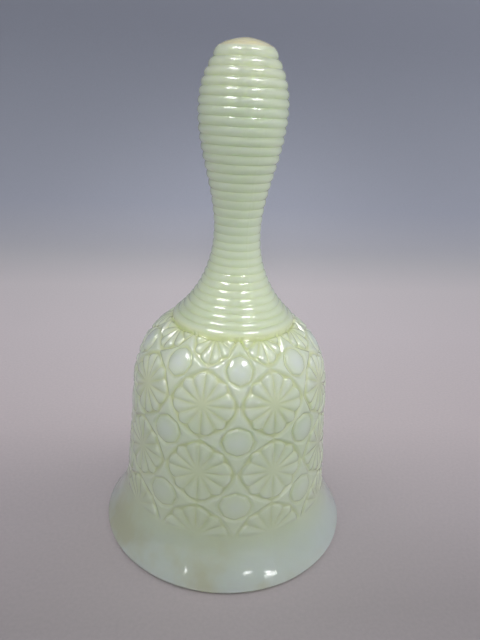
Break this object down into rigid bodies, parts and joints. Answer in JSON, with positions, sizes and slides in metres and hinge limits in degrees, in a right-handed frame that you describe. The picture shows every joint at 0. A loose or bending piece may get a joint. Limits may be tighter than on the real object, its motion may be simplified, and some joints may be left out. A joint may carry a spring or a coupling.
{
  "type": "hand bell",
  "caption": "Pressed-glass hand bell with a ribbed handle, a daisy-and-button skirt with a flared rim, and a bead clapper that swings on a wire chain.",
  "frame": {"origin": "centre of the rim, on the surface that the bell stands on", "axes": "+Z along the bell's axis, up towards the tip of the handle; a column of buttons faces -Y"},
  "size_m": [0.076, 0.076, 0.141],
  "materials": {
    "custard_glass": "gloss",
    "cement": "matte",
    "brass_wire": "satin",
    "brass_chain": "satin",
    "bead_glass": "gloss"
  },
  "bodies": {
    "bell": {"glass_body": "custard_glass", "cement_plug": "cement", "hanger_eye": "brass_wire"},
    "link_1": {"chain_link_1": "brass_chain"},
    "link_2": {"chain_link_2": "brass_chain"},
    "link_3": {"chain_link_3": "brass_chain"},
    "link_4": {"chain_link_4": "brass_chain"},
    "link_5": {"chain_link_5": "brass_chain"},
    "link_6": {"chain_link_6": "brass_chain"},
    "link_7": {"chain_link_7": "brass_chain"},
    "link_8": {"chain_link_8": "brass_chain"},
    "clapper": {"clapper_pin": "brass_wire", "bead_cap": "brass_chain", "clapper_bead": "bead_glass"}
  },
  "joints": [
    {"name": "link_1_swing", "type": "hinge", "parent": "bell", "child": "link_1", "pos_m": [0, 0, 0.056], "axis": [1, 0, 0], "range_deg": [-28, 28]},
    {"name": "link_2_swing", "type": "hinge", "parent": "link_1", "child": "link_2", "pos_m": [0, 0, 0.0521], "axis": [0, 1, 0], "range_deg": [-31, 31]},
    {"name": "link_3_swing", "type": "hinge", "parent": "link_2", "child": "link_3", "pos_m": [0, 0, 0.04805], "axis": [-1, 0, 0], "range_deg": [-35, 35]},
    {"name": "link_4_swing", "type": "hinge", "parent": "link_3", "child": "link_4", "pos_m": [0, 0, 0.044], "axis": [0, -1, 0], "range_deg": [-41, 41]},
    {"name": "link_5_swing", "type": "hinge", "parent": "link_4", "child": "link_5", "pos_m": [0, 0, 0.03995], "axis": [1, 0, 0], "range_deg": [-49, 49]},
    {"name": "link_6_swing", "type": "hinge", "parent": "link_5", "child": "link_6", "pos_m": [0, 0, 0.0359], "axis": [0, 1, 0], "range_deg": [-55, 55]},
    {"name": "link_7_swing", "type": "hinge", "parent": "link_6", "child": "link_7", "pos_m": [0, 0, 0.03185], "axis": [-1, 0, 0], "range_deg": [-60, 60]},
    {"name": "link_8_swing", "type": "hinge", "parent": "link_7", "child": "link_8", "pos_m": [0, 0, 0.0278], "axis": [0, -1, 0], "range_deg": [-60, 60]},
    {"name": "clapper_swing", "type": "hinge", "parent": "link_8", "child": "clapper", "pos_m": [0, 0, 0.02375], "axis": [1, 0, 0], "range_deg": [-60, 60]}
  ]
}
